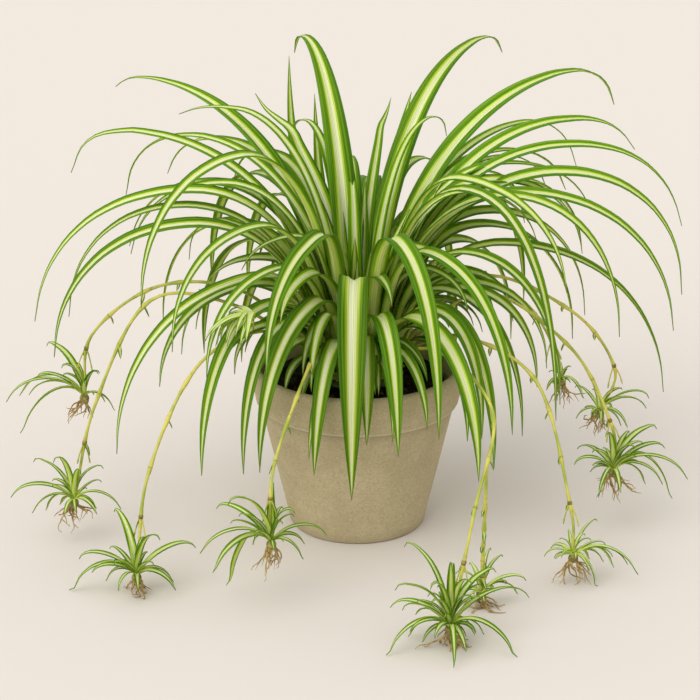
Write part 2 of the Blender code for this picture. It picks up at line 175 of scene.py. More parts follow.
# Plantlets, in millimetres: middle, the number of short leaves, how pale it is, how far sideways its roots
# trail, the tips of its long leaves sideways and up from its middle, and the way points of its runner.
PLANTLETS = {
    "left_1": (
        (-203, 0, 96), 7, 0.25, -0.8,
        [(-52, 11), (-48, -3), (-44, -18), (-27, 38), (-32, 20), (-40, 3), (11, 24), (14, -5), (-14, 30)],
        [(-34, 4), (-85, -10, 185), (-145, -10, 188), (-195, -4, 148)],
    ),
    "left_2": (
        (-208, -50, 34), 9, 0.35, -0.2,
        [(-43, 9), (-27, 30), (-9, 42), (20, 28), (34, 2), (15, -7), (-29, -5), (-22, -10), (8, 32),
         (-14, 18)],
        [(-33.5, -9), (-90, -26, 180), (-150, -34, 185), (-190, -48, 110)],
    ),
    "left_3": (
        (-156, -130, 13), 10, 0.20, -0.2,
        [(-37, 22), (-15, 44), (15, 39), (39, 20), (27, -3), (-46, -12), (-29, 9), (6, 29), (-14, 17)],
        [(-28, -21), (-65, -40, 165), (-113, -75, 152), (-147, -112, 85)],
    ),
    "front_1": (
        (-60, -150, 49), 9, 0.20, -0.3,
        [(-45, 6), (-36, 22), (-25, 44), (-1, 40), (15, 32), (36, 8), (21, -9), (-30, -38), (-38, -12),
         (-20, 20), (8, 20)],
        [(-16, -30), (-28, -62, 158), (-44, -110, 138), (-59, -142, 98)],
    ),
    "front_2": (
        (62, -205, 12), 22, 0.18, 0.0,
        [(-42, -10), (-38, 12), (-35, 38), (-29, 54), (-2, 62), (51, 18), (43, -10), (23, -8), (-31, 26),
         (-27, -9), (-14, 44), (28, 38), (10, 44), (2, 30), (-18, -6), (11, -6)],
        [(18, -29), (55, -65, 160), (93, -120, 136), (78, -182, 88)],
    ),
    "front_3": (
        (86, -150, 10), 9, 0.75, 0.3,
        [(29, 16), (25, -3), (-16, 20), (6, 30), (-12, -4), (16, 24)],
        [],
    ),
    "right_1": (
        (153, -115, 21), 11, 0.80, 0.1,
        [(43, -4), (30, -12), (16, -20), (17, 24), (-12, 2), (6, 18), (26, 8), (-8, 14), (36, 3)],
        [(31, -17.5), (70, -36, 160), (126, -72, 140), (150, -110, 60)],
    ),
    "right_2": (
        (189, -30, 49), 10, 0.22, 0.2,
        [(-29, 13), (-16, -1), (-7, 38), (30, 33), (50, 7), (47, -30), (34, 0), (25, -12), (12, 26), (38, 16),
         (16, 12)],
        [(34, -6), (90, -14, 185), (155, -22, 145), (187, -30, 85)],
    ),
    "right_3": (
        (184, 30, 71), 8, 0.40, -0.3,
        [(33, 23), (35, 3), (20, -7), (-11, 3), (14, 14), (-6, -8)],
        [(34, 8), (90, 12, 188), (160, 20, 157), (194, 29, 108)],
    ),
    "right_4": (
        (159, 80, 77), 8, 0.60, 0.0,
        [(-9, 10), (-3, 15), (16, -12), (6, 12), (-12, -4)],
        [(29, 19), (75, 42, 180), (125, 66, 150), (153, 78, 105)],
    ),
}
ARM_WAY = (0.087, -0.154, 0.070)
FORK_SHARE = 0.62
# Young tufts: how far along the runner, their stalk, heading that they face, number of leaves.
TUFTS = {"left_3": (0.27, (0.002, -0.036, 0.026), 205, 17)}

SEED, LOW_SEED = 7, 11
FILLING_STEPS, LOW_STEPS = 13, 11
INNER_LEAVES = 34
LOW_LEAVES = 22
UPRIGHT_TURN, FILLING_TURN, LOW_TURN, INNER_TURN = 2, 3, 8, 24  # how many degrees each may turn to find room
CROWDED_REACH = 0.042
ENOUGH_ROOM = 0.012
LEAST_ROOM = 0.0065
LIT_HEIGHT, LIT_SPAN = 0.215, 0.09  # above this height leaves are painted lighter, a painted light for light coming through them, fully so after the span
GOLDEN_ANGLE = 137.508
FACE_FORWARD = 0.17  # how far the side leaves are rolled to show their upper face, in radians


# -------- choosing and placing
def metres(size):
    """Millimetres in metres, for a number or a row of them."""
    return size / 1000 if isinstance(size, (int, float)) else tuple(metres(part) for part in size)


def choose(*things):
    """Selects only these objects, the first one active."""
    for thing in bpy.context.selected_objects:
        thing.select_set(False)
    for thing in things:
        thing.select_set(True)
    if things:
        bpy.context.view_layer.objects.active = things[0]


def select_where(thing, test):
    """In edit mode, selects the vertices that pass a test on their place."""
    shape = bmesh.from_edit_mesh(thing.data)
    for corner in shape.verts:
        corner.select = test(corner.co)
    shape.select_flush_mode()
    bmesh.update_edit_mesh(thing.data)


def settle(thing):
    """Puts the object's place, turn and scale into its mesh."""
    choose(thing)
    bpy.ops.object.transform_apply(location=True, rotation=True, scale=True)


def apply_all(thing):
    choose(thing)
    for modifier in list(thing.modifiers):
        bpy.ops.object.modifier_apply(modifier=modifier.name)


def join_into(name, things):
    choose(*things)
    if len(things) > 1:
        bpy.ops.object.join()
    whole = bpy.context.view_layer.objects.active
    whole.name = name
    whole.data.name = name
    return whole


def finish_piece(piece, slot, *nodes):
    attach(piece, "root")
    if nodes:
        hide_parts(*nodes)


# -------- materials
class Finish:
    """A node material that is built up one node at a time."""

    def __init__(self, name):
        self.material = bpy.data.materials.new(name)
        self.material.use_nodes = True
        self.tree = self.material.node_tree
        self.shader = self.tree.nodes["Principled BSDF"]

    def node(self, kind, **settings):
        made = self.tree.nodes.new("ShaderNode" + kind)
        for key, value in settings.items():
            setattr(made, key, value)
        return made

    def put(self, target, value):
        """Sets a socket to a number, a colour or another node's output."""
        if hasattr(value, "is_output"):
            self.tree.links.new(value, target)
        else:
            target.default_value = (*value, 1.0) if target.type == "RGBA" else value

    def fill(self, made, **values):
        """Sets the named sockets of a node, and gives its output."""
        for key, value in values.items():
            self.put(made.inputs[key], value)
        return made.outputs[0]

    def maths(self, operation, first, second=0.0, third=0.0, clamp=False):
        made = self.node("Math", operation=operation, use_clamp=clamp)
        for socket, value in zip(made.inputs, (first, second, third)):
            self.put(socket, value)
        return made.outputs[0]

    def span(self, value, low, high, to_low=0.0, to_high=1.0, smooth=True):
        made = self.node("MapRange", interpolation_type="SMOOTHSTEP" if smooth else "LINEAR")
        for socket, number in zip(made.inputs, (value, low, high, to_low, to_high)):
            self.put(socket, number)
        return made.outputs[0]

    def blend(self, share, first, second):
        made = self.node("Mix", data_type="RGBA", clamp_factor=True)
        for number, value in ((0, share), (6, first), (7, second)):
            self.put(made.inputs[number], value)
        return made.outputs[2]

    def ramp(self, value, stops):
        made = self.node("ValToRGB")
        band = made.color_ramp
        while len(band.elements) < len(stops):
            band.elements.new(1.0)
        for element, (place, colour) in zip(band.elements, stops):
            element.position = place
            element.color = (*colour, 1.0)
        self.put(made.inputs[0], value)
        return made.outputs[0]

    def noise(self, where, scale, detail=2.0, roughness=0.5, dimensions="3D"):
        made = self.node("TexNoise", noise_dimensions=dimensions)
        return self.fill(made, Vector=where, Scale=scale, Detail=detail, Roughness=roughness)

    def places(self, kind="Object"):
        return self.node("TexCoord").outputs[kind]

    def tone(self, name):
        return self.node("Attribute", attribute_name=name).outputs["Fac"]

    def stretched(self, where, scale):
        return self.fill(self.node("Mapping"), Vector=where, Scale=scale)

    def bump(self, height, strength, distance):
        raised = self.fill(self.node("Bump"), Strength=strength, Distance=distance, Height=height)
        self.put(self.shader.inputs["Normal"], raised)

    def let_light_through(self, colour, share):
        """Mixes in light that comes through a thin blade from behind."""
        through, mixed = self.fill(self.node("BsdfTranslucent"), Color=colour), self.node("MixShader")
        for number, value in enumerate((share, self.shader.outputs[0], through)):
            self.put(mixed.inputs[number], value)
        self.put(self.tree.nodes["Material Output"].inputs["Surface"], mixed.outputs[0])
        return self.material

    def surface(self, colour, roughness=0.5, **more):
        self.put(self.shader.inputs["Base Color"], colour)
        self.put(self.shader.inputs["Roughness"], roughness)
        for socket, value in more.items():
            self.shader.inputs[socket.replace("_", " ")].default_value = value
        return self.material


CREAM = (0.93, 0.92, 0.78)
PALE = (0.81, 0.83, 0.42)
LIME = (0.59, 0.66, 0.12)
YELLOW_GREEN = (0.30, 0.46, 0.022)
MID_GREEN = (0.138, 0.310, 0.003)
DARK_GREEN = (0.034, 0.124, 0.001)
# The margin green, made lighter and bluer by a painted sheen of sky reflection along the blade edges.
MARGIN_GREEN_AND_PAINTED_SHEEN = (0.082, 0.235, 0.018)


def leaf_finish(name, under):
    """Cream stripe, yellow-green seam and green margins, with fine veins along the blade."""
    finish = Finish(name)
    chart = finish.node("SeparateXYZ")
    finish.put(chart.inputs[0], finish.places("UV"))
    along, across = chart.outputs[0], chart.outputs[1]
    tone, stripe = finish.tone("tone"), finish.tone("stripe")
    veins = finish.noise(finish.stretched(finish.places("UV"), (1.6, 26.0, 1.0)), 1.0, 3.0, 0.6, "2D")
    fine = finish.noise(finish.stretched(finish.places("UV"), (1.0, 42.0, 1.0)), 1.0, 1.0, 0.5, "2D")
    side = finish.maths("ABSOLUTE", finish.maths("MULTIPLY_ADD", across, 2.0, -1.0))
    wander = finish.maths("MULTIPLY_ADD", veins, 0.36, -0.18)
    wide = finish.maths("MULTIPLY", stripe, finish.span(along, 0.12, 0.55, 1.80, 0.93))
    place = finish.maths("ADD", finish.maths("DIVIDE", side, wide), wander, clamp=True)
    # The outermost stop on each side is the margin green with its painted sheen.
    if under:
        stops = [(0.00, PALE), (0.26, LIME), (0.38, YELLOW_GREEN), (0.48, MID_GREEN), (0.66, DARK_GREEN)]
        stops.append((1.00, MARGIN_GREEN_AND_PAINTED_SHEEN))
    else:
        stops = [(0.00, CREAM), (0.14, CREAM), (0.23, PALE), (0.33, LIME), (0.40, YELLOW_GREEN)]
        stops += [(0.46, MID_GREEN), (0.55, DARK_GREEN), (0.70, DARK_GREEN), (0.94, MARGIN_GREEN_AND_PAINTED_SHEEN)]
    colour = finish.ramp(place, stops)
    lines = finish.span(fine, 0.50, 0.60)
    inside = finish.span(place, 0.05, 0.40, 0.85, 0.0)
    colour = finish.blend(finish.maths("MULTIPLY", lines, inside), colour, LIME)
    colour = finish.blend(finish.maths("MULTIPLY", lines, 0.42), colour, YELLOW_GREEN)
    grooves = finish.span(fine, 0.46, 0.38, 0.0, 0.55)
    dark_lines = finish.maths("MULTIPLY", grooves, finish.span(place, 0.30, 0.50))
    colour = finish.blend(dark_lines, colour, DARK_GREEN)
    pale_lines = finish.maths("MULTIPLY", grooves, finish.span(place, 0.30, 0.12))
    colour = finish.blend(pale_lines, colour, (0.97, 0.97, 0.80))
    middle = finish.span(place, 0.30, 0.50, 1.0, 0.25)
    base = finish.maths("MULTIPLY", finish.span(along, 0.02, 0.52, 0.66, 0.0), middle)
    colour = finish.blend(base, colour, (0.66, 0.75, 0.16))
    # The tone lightens or darkens the margins; it carries painted light on high leaves and painted shade on
    # the low ones.
    lighter = finish.span(tone, 0.0, 1.0, -0.20, 0.46, smooth=False)
    margins = finish.span(place, 0.08, 0.45)
    value = finish.maths("MULTIPLY_ADD", lighter, margins, 1.07)
    colour = finish.fill(finish.node("HueSaturation"), Value=value, Color=colour)
    tip = finish.span(along, 0.975, 1.0, 0.0, 0.7)
    colour = finish.blend(tip, colour, (0.36, 0.25, 0.07))
    finish.bump(fine, 0.40, 0.0003)
    finish.surface(colour, 0.50 if under else 0.42, Specular_IOR_Level=0.12)
    return finish.let_light_through(finish.blend(0.45, colour, (0.66, 0.78, 0.05)), 0.38)


def stem_finish():
    """Yellow-green runner, darker and redder here and there."""
    finish = Finish("runner stem")
    where = finish.places()
    patches = finish.noise(where, 55.0, 3.0)
    colour = finish.blend(finish.span(patches, 0.35, 0.65), (0.60, 0.55, 0.10), (0.30, 0.37, 0.030))
    flecks = finish.noise(where, 420.0, 2.0)
    colour = finish.blend(finish.span(flecks, 0.62, 0.75, 0.0, 0.6), colour, (0.22, 0.17, 0.03))
    finish.bump(flecks, 0.2, 0.0003)
    return finish.surface(colour, 0.45)


def mottled_finish(name, noise, spread, colours, bump, roughness, **more):
    """Two colours in fine patches, with the patches a little raised."""
    finish = Finish(name)
    patches = finish.noise(finish.places(), *noise)
    colour = finish.blend(finish.span(patches, *spread), *colours)
    if bump:
        finish.bump(patches, *bump)
    return finish.surface(colour, roughness, **more)


def joint_finish():
    colours = (0.30, 0.25, 0.035), (0.14, 0.11, 0.015)
    return mottled_finish("runner joint", (260.0, 3.0), (0.35, 0.65), colours, None, 0.6)


def root_finish():
    colours = (0.50, 0.35, 0.11), (0.22, 0.13, 0.035)
    return mottled_finish("root", (300.0, 3.0), (0.3, 0.7), colours, (0.4, 0.0003), 0.65)


def knob_finish():
    """The plantlet's knob, between the brown of its roots and the green of its leaves."""
    colours = (0.16, 0.11, 0.03), (0.34, 0.32, 0.08)
    return mottled_finish("plantlet knob", (400.0, 4.0), (0.35, 0.65), colours, (0.5, 0.0005), 0.7)


def clay_finish():
    """Warm grey-beige cast clay, matte, with fine dark and light grains."""
    finish = Finish("pot clay")
    where = finish.places()
    clouds = finish.noise(where, 28.0, 5.0, 0.6)
    colour = finish.blend(finish.span(clouds, 0.35, 0.65), (0.435, 0.366, 0.212), (0.498, 0.425, 0.258))
    mottle = finish.noise(where, 430.0, 5.0, 0.75)
    colour = finish.blend(finish.span(mottle, 0.42, 0.66, 0.0, 0.60), colour, (0.360, 0.298, 0.180))
    grains = finish.noise(where, 820.0, 2.0, 0.5)
    colour = finish.blend(finish.span(grains, 0.62, 0.72, 0.0, 0.60), colour, (0.22, 0.18, 0.11))
    colour = finish.blend(finish.span(grains, 0.38, 0.28, 0.0, 0.55), colour, (0.66, 0.60, 0.44))
    height = finish.node("SeparateXYZ")
    finish.put(height.inputs[0], where)
    foot = RIM_HEIGHT - COLLAR_HEIGHT
    # A pale line along the collar's lower edge: a painted highlight where light catches the edge.
    from_lit_collar_edge = finish.maths("ABSOLUTE", finish.maths("SUBTRACT", height.outputs[2], foot + 0.0008))
    colour = finish.blend(finish.span(from_lit_collar_edge, 0.0, 0.0012, 0.35, 0.0), colour, (0.72, 0.66, 0.52))
    # Painted shade just below the collar, darkest right under its edge.
    rising = finish.span(height.outputs[2], foot - 0.009, foot - 0.0006, 0.0, 0.35)
    painted_collar_shade = finish.maths("MULTIPLY", rising, finish.span(height.outputs[2], foot - 0.0006, foot, 1.0, 0.0))
    colour = finish.blend(painted_collar_shade, colour, (0.27, 0.22, 0.14))
    # Darker towards the bottom of the pot, over its lowest 10 mm.
    darker_towards_foot = finish.span(height.outputs[2], 0.0, 0.010, 0.45, 0.0)
    colour = finish.blend(darker_towards_foot, colour, (0.30, 0.25, 0.16))
    finish.bump(finish.maths("ADD", mottle, finish.maths("MULTIPLY", grains, 0.5)), 0.35, 0.0004)
    return finish.surface(colour, 0.88, Specular_IOR_Level=0.3)


def leaf_base_finish():
    colours = (0.030, 0.045, 0.010), (0.130, 0.170, 0.040)
    return mottled_finish("packed leaf bases", (130.0, 4.0), (0.35, 0.65), colours, (0.6, 0.002), 0.7)


def earth_finish():
    colours, crumbs = ((0.006, 0.0045, 0.003), (0.034, 0.022, 0.013)), (260.0, 5.0, 0.65)
    matte = {"Specular_IOR_Level": 0.2}
    return mottled_finish("potting soil", crumbs, (0.38, 0.66), colours, (0.8, 0.002), 0.95, **matte)


def bark_finish():
    colours = (0.022, 0.012, 0.006), (0.085, 0.042, 0.018)
    return mottled_finish("bark chip", (340.0, 4.0, 0.6), (0.36, 0.64), colours, (0.6, 0.001), 0.85)


def floor_finish():
    finish = Finish("studio floor")
    return finish.surface((0.700, 0.655, 0.612), 0.9, Specular_IOR_Level=0.1)


# -------- blades
def blade_outline(share):
    """Width along a blade as a share of its widest: narrow at the crown, widest midway, then to a point."""
    swelling = 0.45 + 0.55 * sin(pi / 2 * min(share / 0.42, 1.0))
    taper = 1.0 - max(0.0, (share - 0.46) / 0.54) ** 1.7
    return swelling * taper + 0.012


def make_stock(name, rows, columns, top, under):
    """A flat unit blade from 0 to 1 along X, one wide along Z, its upper face to +Y, folded along the
    midrib and fluted, and drawn in to its outline."""
    choose()
    bpy.ops.mesh.primitive_grid_add(
        x_subdivisions=rows, y_subdivisions=columns, size=1.0, location=(0.5, 0, 0), rotation=(-pi / 2, 0, 0)
    )
    stock = bpy.context.object
    stock.name = name
    settle(stock)
    bpy.ops.object.mode_set(mode="EDIT")
    bpy.ops.mesh.select_mode(type="VERT")
    for column in range(columns + 1):
        across = column / columns - 0.5
        side = abs(across) * 2
        fold = 0.17 * side + 0.045 * sin(pi * side)
        flute = 0.012 if column % 2 else -0.012
        select_where(stock, lambda place: abs(place.z - across) < 0.01)
        bpy.ops.transform.translate(value=(0.0, fold + flute * (0.1 < side < 0.95), 0.0))
    for row in range(rows + 1):
        share = row / rows
        deeper = 1.0 + 0.9 * max(0.0, 1.0 - share / 0.30)
        select_where(stock, lambda place: abs(place.x - share) < 0.001)
        wide = blade_outline(share)
        bpy.ops.transform.resize(value=(1.0, wide * deeper, wide), center_override=(share, 0.0, 0.0))
    bpy.ops.object.mode_set(mode="OBJECT")
    stock.data.materials.append(top)
    stock.data.materials.append(under)
    for kind in ("tone", "stripe"):
        stock.data.attributes.new(kind, "FLOAT", "POINT")
    choose(stock)
    bpy.ops.object.shade_smooth()
    return stock


def cubic(a, b, c, d, t):
    s = 1.0 - t
    return a * (s * s * s) + b * (3 * s * s * t) + c * (3 * s * t * t) + d * (t * t * t)


def arch(start, top, tip, rows):
    """(reach, height) points along a leaf: up from the crown, over the top, down to the tip."""
    rise, fall = top - start, tip - top
    droop = min(1.0, abs(fall.y) / max(fall.x, 0.001))
    up = [start, start + Vector((0.10 * rise.x, 0.72 * rise.y)), start + Vector((0.55 * rise.x, rise.y)), top]
    if fall.y > 0:
        up[2] = top - 0.35 * fall - Vector((0.1 * rise.x, 0.15 * rise.y))
    down = [
        top,
        top + (Vector((0.60 * fall.x, 0.0)) if fall.y <= 0 else 0.3 * fall),
        top + Vector(((0.70 + 0.28 * droop) * fall.x, 0.42 * fall.y)),
        tip,
    ]
    rise_rows = max(3, round(rows * rise.length / (rise.length + fall.length)))
    fall_rows = max(2, rows - rise_rows)
    points = [cubic(*up, step / rise_rows) for step in range(rise_rows)]
    return points + [cubic(*down, step / fall_rows) for step in range(fall_rows + 1)]


def upright(start, tip, bow, rows=10):
    """Points along a leaf that stands up, straight or bowed out at first."""
    rise = tip - start
    low = start + Vector(((0.15 + 0.60 * bow) * rise.x, (0.40 - 0.15 * bow) * rise.y))
    high = start + Vector(((0.55 + 0.50 * bow) * rise.x, (0.78 - 0.18 * bow) * rise.y))
    return [cubic(start, low, high, tip, step / rows) for step in range(rows + 1)]


def blade_line(node):
    """Midrib of a CAD blade as (reach, height) points from crown to tip, its heading and its width."""
    corners = {tuple(round(value, 5) for value in corner.co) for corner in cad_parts[node].data.vertices}
    corners = [Vector(corner) for corner in sorted(corners)]
    middle = sum(corners, Vector()) / len(corners)
    heading = atan2(middle.y, middle.x)
    outward, across = Vector((cos(heading), sin(heading), 0)), Vector((-sin(heading), cos(heading), 0))
    width = 2 * max(abs(corner.dot(across)) for corner in corners)
    left = [Vector((c.dot(outward), c.z)) for c in corners if abs(c.dot(across)) < MIDRIB_REACH]
    walked = [min(left, key=lambda point: point.x)]
    left.remove(walked[0])
    while left:
        walked.append(min(left, key=lambda point: (point - walked[-1]).length))
        left.remove(walked[-1])
    line = [(first + second) / 2 for first, second in zip(walked[::2], walked[1::2])]
    return line, heading, width


def bend_along(blade, line, heading, foot, sway, twist, roll):
    """Bends a straight blade along a line in its upright plane, then turns it to its heading."""
    choose()
    bpy.ops.curve.primitive_bezier_curve_add()
    guide = bpy.context.object
    curve = guide.data
    curve.dimensions = "3D"
    curve.twist_mode = "Z_UP"
    curve.resolution_u = 8
    spline = curve.splines[0]
    spline.bezier_points.add(len(line) - 2)
    last = len(line) - 1
    for number, (knot, point) in enumerate(zip(spline.bezier_points, line)):
        share = number / last
        knot.handle_left_type = knot.handle_right_type = "AUTO"
        knot.co = (point.x, point.y, sway * share * share)
        knot.tilt = twist * share + roll * min(1.0, 2 * share)
    guide.data.update_tag()
    bpy.context.view_layer.update()
    length = spline.calc_length(resolution=32)
    blade.scale = (length, 1.0, 1.0)
    settle(blade)
    bend = blade.modifiers.new("bend", "CURVE")
    bend.object = guide
    bend.deform_axis = "POS_X"
    solid = blade.modifiers.new("thickness", "SOLIDIFY")
    solid.thickness = BLADE_THICKNESS
    solid.offset = 0.0
    solid.material_offset = 1
    solid.material_offset_rim = 0
    apply_all(blade)
    bpy.data.objects.remove(guide, do_unlink=True)
    blade.rotation_euler = (pi / 2, 0.0, heading)
    blade.location = foot
    settle(blade)


class Room:
    """The places that leaves already hold, so that the next ones are put where they clear them."""

    def __init__(self):
        self.held = []
        self.tree = None

    def places(self, line, heading):
        outward = Vector((cos(heading), sin(heading), 0.0))
        spread = [first.lerp(second, 0.5) for first, second in zip(line, line[1:])] + list(line)
        return [outward * point.x + Vector((0, 0, point.y)) for point in spread if point.x > CROWDED_REACH]

    def hold(self, line, heading):
        self.held += self.places(line, heading)
        self.tree = KDTree(len(self.held))
        for number, place in enumerate(self.held):
            self.tree.insert(place, number)
        self.tree.balance()

    def clearance(self, line, heading):
        return min((self.tree.find(place)[2] for place in self.places(line, heading)), default=1.0)

    def best_heading(self, line, heading, most):
        """The heading near the wanted one that clears the other leaves best, and by how much."""
        turns = [radians(heading + most * step / 6) for step in (0, 1, -1, 2, -2, 3, -3, 4, -4, 5, -5, 6, -6)]
        best = max(turns, key=lambda turn: round(min(self.clearance(line, turn), ENOUGH_ROOM), 3))
        return best, self.clearance(line, best)


def grow_blade(
    stock, name, line, heading, width, luck,
    foot=(0, 0, 0), sway=0.006, twist=0.25, pale=0.0, lit=0.0, roll=0.0,
):
    """One leaf: a copy of the stock blade, sized, toned and bent."""
    blade = stock.copy()
    blade.data = stock.data.copy()
    blade.name = name
    bpy.context.scene.collection.objects.link(blade)
    # The tone sums a random tone, the pale shift and the painted light of high leaves (lit); the low leaves'
    # negative pale is painted shade.
    tones = {
        "tone": min(1.0, max(0.0, luck.uniform(0.25, 0.85) + pale + lit)),
        "stripe": luck.uniform(0.86, 1.22) + 0.9 * pale,
    }
    for key, value in tones.items():
        blade.data.attributes[key].data.foreach_set("value", [value] * len(blade.data.vertices))
    blade.scale = (1.0, width, width)
    settle(blade)
    bend_along(blade, line, heading, foot, luck.uniform(-sway, sway), luck.uniform(-twist, twist), roll)
    return blade


# -------- pot and soil
def turn_by_hand(name, sides, outline):
    """A ring drawn out along an outline of (radius, height) stations by extruding and resizing it."""
    choose()
    radius, height = outline[0]
    bpy.ops.mesh.primitive_circle_add(vertices=sides, radius=radius, location=(0, 0, height))
    thing = bpy.context.object
    thing.name = name
    settle(thing)
    bpy.ops.object.mode_set(mode="EDIT")
    bpy.ops.mesh.select_all(action="SELECT")
    for next_radius, next_height in outline[1:]:
        bpy.ops.mesh.extrude_edges_move(TRANSFORM_OT_translate={"value": (0, 0, next_height - height)})
        grow = next_radius / radius
        bpy.ops.transform.resize(value=(grow, grow, 1.0), center_override=(0, 0, next_height))
        radius, height = next_radius, next_height
    return thing


def close_turning(thing):
    """Fills the two open ends, merges doubles and faces everything outwards."""
    bpy.ops.mesh.select_all(action="SELECT")
    bpy.ops.mesh.remove_doubles(threshold=1e-6)
    bpy.ops.mesh.select_non_manifold()
    bpy.ops.mesh.edge_face_add()
    bpy.ops.mesh.select_all(action="SELECT")
    bpy.ops.mesh.normals_make_consistent(inside=False)
    bpy.ops.object.mode_set(mode="OBJECT")
    choose(thing)
    bpy.ops.object.shade_smooth_by_angle(angle=radians(40))


def rounded(middle, radius, start, end, steps):
    turns = [radians(start + (end - start) * step / steps) for step in range(steps + 1)]
    return [(middle[0] + radius * cos(turn), middle[1] + radius * sin(turn)) for turn in turns]


def make_pot(clay):
    collar_foot = RIM_HEIGHT - COLLAR_HEIGHT
    collar_radius = RIM_RADIUS - COLLAR_TAPER
    body_top = collar_radius - COLLAR_STEP
    lip = WALL / 2
    wall_at_soil = body_top - WALL
    outline = [(0.010, UNDERSIDE), (FOOT_RADIUS - 0.0030, UNDERSIDE)]
    outline += rounded((FOOT_RADIUS - FOOT_FILLET, FOOT_FILLET), FOOT_FILLET, -90, 0, 4)
    steps = 14
    for step in range(1, steps):
        share = step / steps
        radius = FOOT_RADIUS + (body_top - FOOT_RADIUS) * share
        outline.append((radius, FOOT_FILLET + (collar_foot - 0.0040) * share))
    outline += [
        (body_top, collar_foot - 0.0018),
        (collar_radius - 0.0012, collar_foot - 0.0004),
        (collar_radius - 0.0002, collar_foot + 0.0010),
        (collar_radius + 0.0002, collar_foot + 0.0030),
        ((collar_radius + RIM_RADIUS) / 2, collar_foot + 0.0140),
    ]
    outline += rounded((RIM_RADIUS - lip, RIM_HEIGHT - lip), lip, 0, 180, 10)
    outline += [
        (RIM_RADIUS - WALL - 0.0008, RIM_HEIGHT - 0.009),
        (wall_at_soil, SOIL_TOP - 0.012),
        (FOOT_RADIUS - WALL, POT_FLOOR),
        (0.008, POT_FLOOR),
    ]
    pot = turn_by_hand("clay_pot", 128, outline)
    close_turning(pot)
    pot.data.materials.append(clay)
    finish_piece(pot, "pot", "pot")


def make_soil(earth, bark, luck):
    """A crumbly disc of earth with bark chips lying in it."""
    edge = SOIL_BOX[1].x
    stations = [(0.044, 0.010), (edge - 0.0006, SOIL_TOP - 0.011), (edge, SOIL_TOP - 0.0035)]
    stations += [(edge - 0.0025 * step, SOIL_TOP - 0.0030 + 0.0001 * step) for step in range(1, 24)]
    soil = turn_by_hand("soil_bed", 160, stations)
    close_turning(soil)
    shape = bmesh.new()
    shape.from_mesh(soil.data)
    for corner in shape.verts:
        flat = Vector((corner.co.x, corner.co.y))
        if corner.co.z > SOIL_TOP - 0.006 and flat.length < edge - 0.001:
            hill = 0.0012 * sin(corner.co.x * 240) * cos(corner.co.y * 210)
            corner.co.z += luck.uniform(-0.0016, 0.0016) + hill
    shape.to_mesh(soil.data)
    shape.free()
    soil.data.materials.append(earth)
    soil.data.materials.append(bark)
    pieces = [soil]
    for number in range(BARK_CHIPS):
        reach, heading = luck.uniform(0.036, edge - 0.005), luck.uniform(0, 2 * pi)
        size = luck.uniform(0.0015, 0.0042)
        choose()
        bpy.ops.mesh.primitive_ico_sphere_add(
            subdivisions=1,
            radius=size,
            location=(reach * cos(heading), reach * sin(heading), SOIL_TOP - 0.0015 + 0.3 * size),
            rotation=(luck.uniform(-0.6, 0.6), luck.uniform(-0.6, 0.6), luck.uniform(0, pi)),
            scale=(1.0, luck.uniform(0.35, 0.7), luck.uniform(0.25, 0.45)),
        )
        chip = bpy.context.object
        chip.data.materials.append(earth)
        chip.data.materials.append(bark)
        for face in chip.data.polygons:
            face.material_index = 1 if number % 3 else 0
        settle(chip)
        pieces.append(chip)
    soil = join_into("soil_bed", pieces)
    finish_piece(soil, "soil", "soil")


# -------- crown and leaves
def make_crown(stock, finish, luck):
    """Packed leaf bases: a low mound with the young leaves of the heart standing in it."""
    choose()
    wide = CROWN_RADIUS - 0.003
    stations = [(0.010, CROWN_FOOT), (wide - 0.002, CROWN_FOOT), (wide, CROWN_FOOT + 0.002)]
    stations += [(wide * cos(turn), CROWN_FOOT + 0.002 + 0.0068 * sin(turn)) for turn in (0.3, 0.6, 0.9, 1.2)]
    mound = turn_by_hand("leaf_bases", 64, stations)
    close_turning(mound)
    mound.data.materials.append(finish)
    pieces = []
    for heading, bow, *sizes in UPRIGHT_LEAVES[:CROWN_LEAVES]:
        root, tip, width = metres(sizes)
        line = upright(Vector((root, CROWN_TOP - 0.004)), Vector(tip), bow)
        pieces.append(grow_blade(stock, "heart leaf", line, radians(heading), width, luck, pale=0.15))
    crown = join_into("leaf_crown", [*pieces, mound])
    finish_piece(crown, "leaf", "crown")


def painted_height_light(line):
    """How much lighter a leaf's colour is painted for standing high, a painted light for the light that comes
    through it.
    """
    return 0.40 * min(1.0, max(0.0, (max(point.y for point in line) - LIT_HEIGHT) / LIT_SPAN))


def make_leaves(stock, room, luck):
    """One leaf in the place of each CAD blade."""
    for node in sorted(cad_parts):
        if node.startswith("leaf_"):
            line, heading, width = blade_line(node)
            room.hold(line, heading)
            roll = FACE_FORWARD * cos(heading)
            width *= FINER.get(node, 1.0)
            leaf = grow_blade(
                stock, node + "_blade", line, heading, width, luck, sway=0.004, lit=painted_height_light(line), roll=roll
            )
            finish_piece(leaf, "leaf", node)


def inner_leaves(luck):
    """Leaves that fill the space between crown and arches: each turned by the golden angle from the last,
    the inner ones steep, the outer ones low and drooping."""
    leaves = []
    for number in range(INNER_LEAVES):
        age = number / (INNER_LEAVES - 1)
        heading = (number * GOLDEN_ANGLE + luck.uniform(-9, 9)) % 360
        forward = max(0.0, -sin(radians(heading))) ** 2
        if forward > 0.88:
            continue
        top = (0.046 + 0.040 * age) * (1 - 0.45 * forward), (0.238 - 0.070 * age) * (1 - 0.08 * forward)
        reach = top[0] + luck.uniform(0.030, 0.052) * (1 - 0.6 * forward)
        tip = (reach, top[1] - (luck.uniform(0.010, 0.024) + 0.030 * age) * (1 - 0.4 * forward))
        leaves.append((heading, 0.010 + 0.021 * age, top, tip, luck.uniform(0.0115, 0.0155)))
    return leaves


